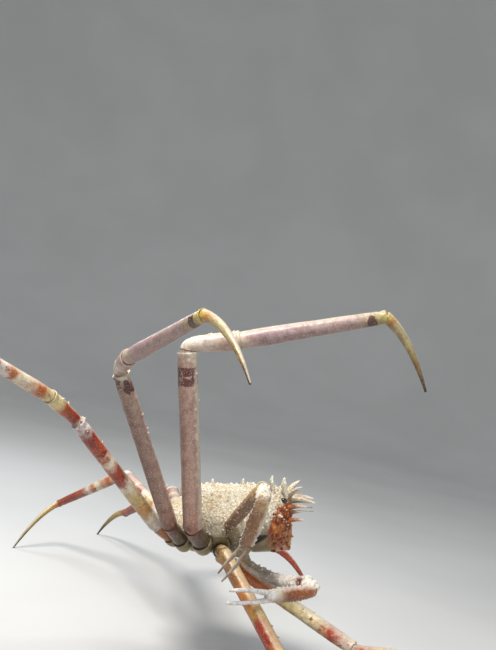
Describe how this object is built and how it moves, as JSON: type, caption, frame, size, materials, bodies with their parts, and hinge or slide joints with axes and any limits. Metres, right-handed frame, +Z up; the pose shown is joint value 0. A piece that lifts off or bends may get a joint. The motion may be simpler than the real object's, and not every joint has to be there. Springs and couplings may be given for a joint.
{
  "type": "japanese spider crab model",
  "caption": "Life-size Japanese spider crab model, some legs held up over a spiny shell and the rest standing on the floor.",
  "frame": {"origin": "on the floor, at the middle of the ground that the model covers", "axes": "+Z up, +X the way the crab heads, +Y to its left"},
  "size_m": [1.566, 1.9598, 0.8636],
  "materials": {
    "shell": "rough granular cream shell",
    "underside": "smooth satin greenish cream",
    "pale_limb": "satin pale mauve with dark red patches",
    "red_limb": "satin orange red banded with cream",
    "claw": "satin cream with white fingers",
    "leg_tip": "satin cream to dark brown horn",
    "mouth": "satin orange brown",
    "eye": "glossy near black"
  },
  "bodies": {
    "root": {"abdomen": "underside", "antenna_L": "leg_tip", "antenna_R": "leg_tip", "carapace": "shell", "cheliped_L_carpus": "claw", "cheliped_L_dactylus": "claw", "cheliped_L_ischium": "claw", "cheliped_L_merus": "claw", "cheliped_L_propodus": "claw", "cheliped_R_carpus": "claw", "cheliped_R_dactylus": "claw", "cheliped_R_ischium": "claw", "cheliped_R_merus": "claw", "cheliped_R_propodus": "claw", "eye_L": "eye", "eye_R": "eye", "leg2_L_carpus": "red_limb", "leg2_L_dactylus": "leg_tip", "leg2_L_ischium": "red_limb", "leg2_L_merus": "red_limb", "leg2_L_propodus": "red_limb", "leg2_R_carpus": "red_limb", "leg2_R_dactylus": "leg_tip", "leg2_R_ischium": "red_limb", "leg2_R_merus": "red_limb", "leg2_R_propodus": "red_limb", "leg3_L_carpus": "red_limb", "leg3_L_dactylus": "leg_tip", "leg3_L_ischium": "red_limb", "leg3_L_merus": "red_limb", "leg3_L_propodus": "red_limb", "leg3_R_carpus": "pale_limb", "leg3_R_dactylus": "leg_tip", "leg3_R_ischium": "pale_limb", "leg3_R_merus": "pale_limb", "leg3_R_propodus": "pale_limb", "leg4_L_carpus": "red_limb", "leg4_L_dactylus": "leg_tip", "leg4_L_ischium": "red_limb", "leg4_L_merus": "red_limb", "leg4_L_propodus": "red_limb", "leg4_R_carpus": "pale_limb", "leg4_R_dactylus": "leg_tip", "leg4_R_ischium": "pale_limb", "leg4_R_merus": "pale_limb", "leg4_R_propodus": "pale_limb", "leg5_L_carpus": "red_limb", "leg5_L_dactylus": "leg_tip", "leg5_L_ischium": "red_limb", "leg5_L_merus": "red_limb", "leg5_L_propodus": "red_limb", "leg5_R_carpus": "red_limb", "leg5_R_dactylus": "leg_tip", "leg5_R_ischium": "red_limb", "leg5_R_merus": "red_limb", "leg5_R_propodus": "red_limb", "maxilliped_L": "mouth", "maxilliped_R": "mouth", "thorax": "underside"}
  },
  "joints": []
}
